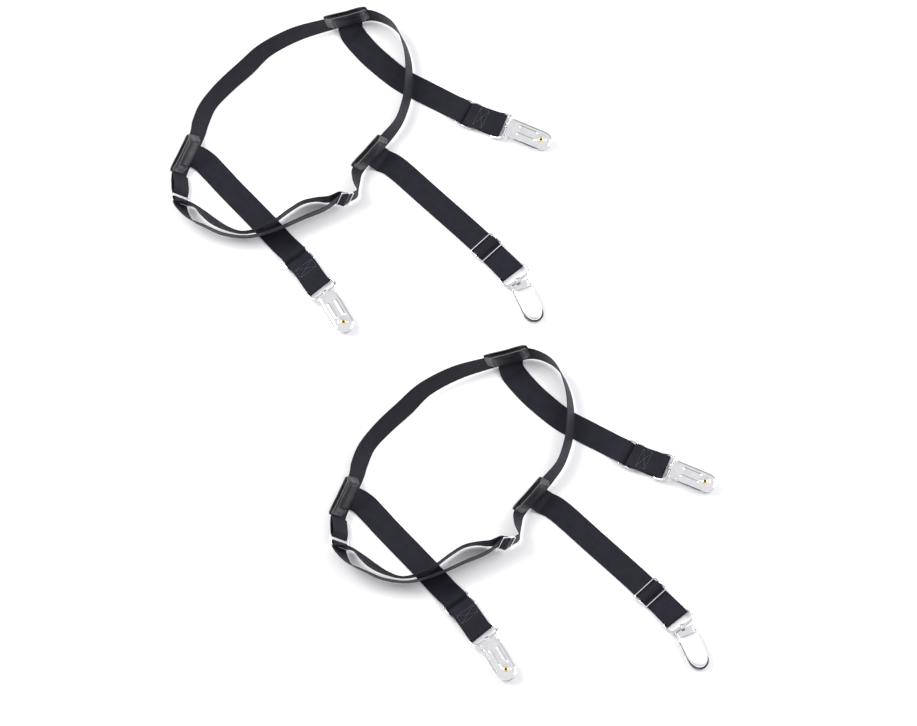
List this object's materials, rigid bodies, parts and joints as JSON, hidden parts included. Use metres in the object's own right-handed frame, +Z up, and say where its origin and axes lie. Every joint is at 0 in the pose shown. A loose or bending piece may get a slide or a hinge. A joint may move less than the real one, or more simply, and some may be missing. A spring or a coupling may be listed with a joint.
{
  "type": "shirt-stay thigh garters",
  "caption": "Pair of shirt-stay thigh garters: elastic band with slider and ring, leather tabs, adjustable elastic straps and sprung lever clips.",
  "frame": {"origin": "middle of the pair's footprint, on the surface they lie on", "axes": "+Z up from the table, +Y along the pair's longest side, towards the far garter; the straps point towards +X and -Y"},
  "size_m": [0.5298, 0.7082, 0.0265],
  "materials": {
    "band_elastic": "matte",
    "strap_elastic": "satin",
    "leather": "satin",
    "chrome": "polished",
    "brass": "polished",
    "plastic": "matte"
  },
  "bodies": {
    "far_garter": {"far_band": "band_elastic", "far_left_strap": "strap_elastic", "far_left_tab_front": "leather", "far_left_tab_back": "leather", "far_top_strap": "strap_elastic", "far_top_tab_front": "leather", "far_top_tab_back": "leather", "far_right_strap": "strap_elastic", "far_right_tab_front": "leather", "far_right_tab_back": "leather"},
    "far_band_ring": {"far_band_ring": "chrome"},
    "far_band_slider": {"far_band_slider": "chrome"},
    "far_left_slider": {"far_left_slider": "chrome"},
    "far_left_ring": {"far_left_clip_ring": "chrome"},
    "far_left_clip": {"far_left_clip_plate": "chrome", "far_left_clip_pad": "plastic", "far_left_clip_eyelet": "brass"},
    "far_left_lever": {"far_left_clip_lever": "chrome"},
    "far_top_slider": {"far_top_slider": "chrome"},
    "far_top_ring": {"far_top_clip_ring": "chrome"},
    "far_top_clip": {"far_top_clip_plate": "chrome", "far_top_clip_pad": "plastic", "far_top_clip_eyelet": "brass"},
    "far_top_lever": {"far_top_clip_lever": "chrome"},
    "far_right_slider": {"far_right_slider": "chrome"},
    "far_right_ring": {"far_right_clip_ring": "chrome"},
    "far_right_clip": {"far_right_clip_plate": "chrome", "far_right_clip_pad": "plastic", "far_right_clip_eyelet": "brass"},
    "far_right_lever": {"far_right_clip_lever": "chrome"},
    "near_garter": {"near_band": "band_elastic", "near_left_strap": "strap_elastic", "near_left_tab_front": "leather", "near_left_tab_back": "leather", "near_top_strap": "strap_elastic", "near_top_tab_front": "leather", "near_top_tab_back": "leather", "near_right_strap": "strap_elastic", "near_right_tab_front": "leather", "near_right_tab_back": "leather"},
    "near_band_ring": {"near_band_ring": "chrome"},
    "near_band_slider": {"near_band_slider": "chrome"},
    "near_left_slider": {"near_left_slider": "chrome"},
    "near_left_ring": {"near_left_clip_ring": "chrome"},
    "near_left_clip": {"near_left_clip_plate": "chrome", "near_left_clip_pad": "plastic", "near_left_clip_eyelet": "brass"},
    "near_left_lever": {"near_left_clip_lever": "chrome"},
    "near_top_slider": {"near_top_slider": "chrome"},
    "near_top_ring": {"near_top_clip_ring": "chrome"},
    "near_top_clip": {"near_top_clip_plate": "chrome", "near_top_clip_pad": "plastic", "near_top_clip_eyelet": "brass"},
    "near_top_lever": {"near_top_clip_lever": "chrome"},
    "near_right_slider": {"near_right_slider": "chrome"},
    "near_right_ring": {"near_right_clip_ring": "chrome"},
    "near_right_clip": {"near_right_clip_plate": "chrome", "near_right_clip_pad": "plastic", "near_right_clip_eyelet": "brass"},
    "near_right_lever": {"near_right_clip_lever": "chrome"}
  },
  "joints": [
    {"name": "far_band_ring_pivot", "type": "hinge", "parent": "far_garter", "child": "far_band_ring", "pos_m": [-0.25539, 0.15633, 0.0099], "axis": [-0.675, -0.05, 0.7361], "range_deg": [-20, 20], "deforming": ["far_band"]},
    {"name": "far_band_adjust", "type": "slide", "parent": "far_garter", "child": "far_band_slider", "axis": [-0.9397, -0.342, 0], "range_m": [0, 0.028]},
    {"name": "far_left_adjust", "type": "slide", "parent": "far_garter", "child": "far_left_slider", "axis": [0.6088, -0.7934, 0], "range_m": [-0.022, 0.006], "deforming": ["far_left_strap"]},
    {"name": "far_left_ring_follow", "type": "slide", "parent": "far_left_slider", "child": "far_left_ring", "axis": [0.6088, -0.7934, 0], "range_m": [-0.0035, 0.0115]},
    {"name": "far_left_clip_swing", "type": "hinge", "parent": "far_left_ring", "child": "far_left_clip", "pos_m": [-0.11299, 0.05312, 0.0064], "axis": [-0.7986, -0.6018, 0], "range_deg": [-90, 60]},
    {"name": "far_left_lever_open", "type": "hinge", "parent": "far_left_clip", "child": "far_left_lever", "pos_m": [-0.1093, 0.04648, 0.0052], "axis": [0.8746, 0.4848, 0], "range_deg": [0, 100]},
    {"name": "far_top_adjust", "type": "slide", "parent": "far_garter", "child": "far_top_slider", "axis": [0.8988, -0.4384, 0], "range_m": [-0.042, 0.006], "deforming": ["far_top_strap"]},
    {"name": "far_top_ring_follow", "type": "slide", "parent": "far_top_slider", "child": "far_top_ring", "axis": [0.8988, -0.4384, 0], "range_m": [-0.0035, 0.0215]},
    {"name": "far_top_clip_swing", "type": "hinge", "parent": "far_top_ring", "child": "far_top_clip", "pos_m": [0.06385, 0.232, 0.0064], "axis": [-0.3746, -0.9272, 0], "range_deg": [-90, 60]},
    {"name": "far_top_lever_open", "type": "hinge", "parent": "far_top_clip", "child": "far_top_lever", "pos_m": [0.07077, 0.22884, 0.0052], "axis": [0.4147, 0.91, 0], "range_deg": [0, 100]},
    {"name": "far_right_adjust", "type": "slide", "parent": "far_garter", "child": "far_right_slider", "axis": [0.7009, -0.7133, 0], "range_m": [-0.06, 0.006], "deforming": ["far_right_strap"]},
    {"name": "far_right_ring_follow", "type": "slide", "parent": "far_right_slider", "child": "far_right_ring", "axis": [0.7009, -0.7133, 0], "range_m": [-0.0035, 0.0305]},
    {"name": "far_right_clip_swing", "type": "hinge", "parent": "far_right_ring", "child": "far_right_clip", "pos_m": [0.07444, 0.06767, 0.0034], "axis": [0.809, 0.5878, 0], "range_deg": [-90, 60]},
    {"name": "far_right_lever_open", "type": "hinge", "parent": "far_right_clip", "child": "far_right_lever", "pos_m": [0.07747, 0.0607, 0.0046], "axis": [-0.9171, -0.3987, 0], "range_deg": [0, 100]},
    {"name": "near_garter_lift", "type": "slide", "parent": "far_garter", "child": "near_garter", "axis": [0, 0, 1], "range_m": [0, 0.3]},
    {"name": "near_band_ring_pivot", "type": "hinge", "parent": "near_garter", "child": "near_band_ring", "pos_m": [-0.09839, -0.20817, 0.0099], "axis": [-0.675, -0.05, 0.7361], "range_deg": [-20, 20], "deforming": ["near_band"]},
    {"name": "near_band_adjust", "type": "slide", "parent": "near_garter", "child": "near_band_slider", "axis": [-0.9397, -0.342, 0], "range_m": [0, 0.028]},
    {"name": "near_left_adjust", "type": "slide", "parent": "near_garter", "child": "near_left_slider", "axis": [0.6088, -0.7934, 0], "range_m": [-0.022, 0.006], "deforming": ["near_left_strap"]},
    {"name": "near_left_ring_follow", "type": "slide", "parent": "near_left_slider", "child": "near_left_ring", "axis": [0.6088, -0.7934, 0], "range_m": [-0.0035, 0.0115]},
    {"name": "near_left_clip_swing", "type": "hinge", "parent": "near_left_ring", "child": "near_left_clip", "pos_m": [0.04401, -0.31138, 0.0064], "axis": [-0.7986, -0.6018, 0], "range_deg": [-90, 60]},
    {"name": "near_left_lever_open", "type": "hinge", "parent": "near_left_clip", "child": "near_left_lever", "pos_m": [0.0477, -0.31802, 0.0052], "axis": [0.8746, 0.4848, 0], "range_deg": [0, 100]},
    {"name": "near_top_adjust", "type": "slide", "parent": "near_garter", "child": "near_top_slider", "axis": [0.8988, -0.4384, 0], "range_m": [-0.042, 0.006], "deforming": ["near_top_strap"]},
    {"name": "near_top_ring_follow", "type": "slide", "parent": "near_top_slider", "child": "near_top_ring", "axis": [0.8988, -0.4384, 0], "range_m": [-0.0035, 0.0215]},
    {"name": "near_top_clip_swing", "type": "hinge", "parent": "near_top_ring", "child": "near_top_clip", "pos_m": [0.22085, -0.1325, 0.0064], "axis": [-0.3746, -0.9272, 0], "range_deg": [-90, 60]},
    {"name": "near_top_lever_open", "type": "hinge", "parent": "near_top_clip", "child": "near_top_lever", "pos_m": [0.22777, -0.13566, 0.0052], "axis": [0.4147, 0.91, 0], "range_deg": [0, 100]},
    {"name": "near_right_adjust", "type": "slide", "parent": "near_garter", "child": "near_right_slider", "axis": [0.7009, -0.7133, 0], "range_m": [-0.06, 0.006], "deforming": ["near_right_strap"]},
    {"name": "near_right_ring_follow", "type": "slide", "parent": "near_right_slider", "child": "near_right_ring", "axis": [0.7009, -0.7133, 0], "range_m": [-0.0035, 0.0305]},
    {"name": "near_right_clip_swing", "type": "hinge", "parent": "near_right_ring", "child": "near_right_clip", "pos_m": [0.23144, -0.29683, 0.0034], "axis": [0.809, 0.5878, 0], "range_deg": [-90, 60]},
    {"name": "near_right_lever_open", "type": "hinge", "parent": "near_right_clip", "child": "near_right_lever", "pos_m": [0.23447, -0.3038, 0.0046], "axis": [-0.9171, -0.3987, 0], "range_deg": [0, 100]}
  ],
  "couplings": [
    {"joint": "far_left_ring_follow", "follows": "far_left_adjust", "ratio": -0.5},
    {"joint": "far_top_ring_follow", "follows": "far_top_adjust", "ratio": -0.5},
    {"joint": "far_right_ring_follow", "follows": "far_right_adjust", "ratio": -0.5},
    {"joint": "near_left_ring_follow", "follows": "near_left_adjust", "ratio": -0.5},
    {"joint": "near_top_ring_follow", "follows": "near_top_adjust", "ratio": -0.5},
    {"joint": "near_right_ring_follow", "follows": "near_right_adjust", "ratio": -0.5}
  ]
}
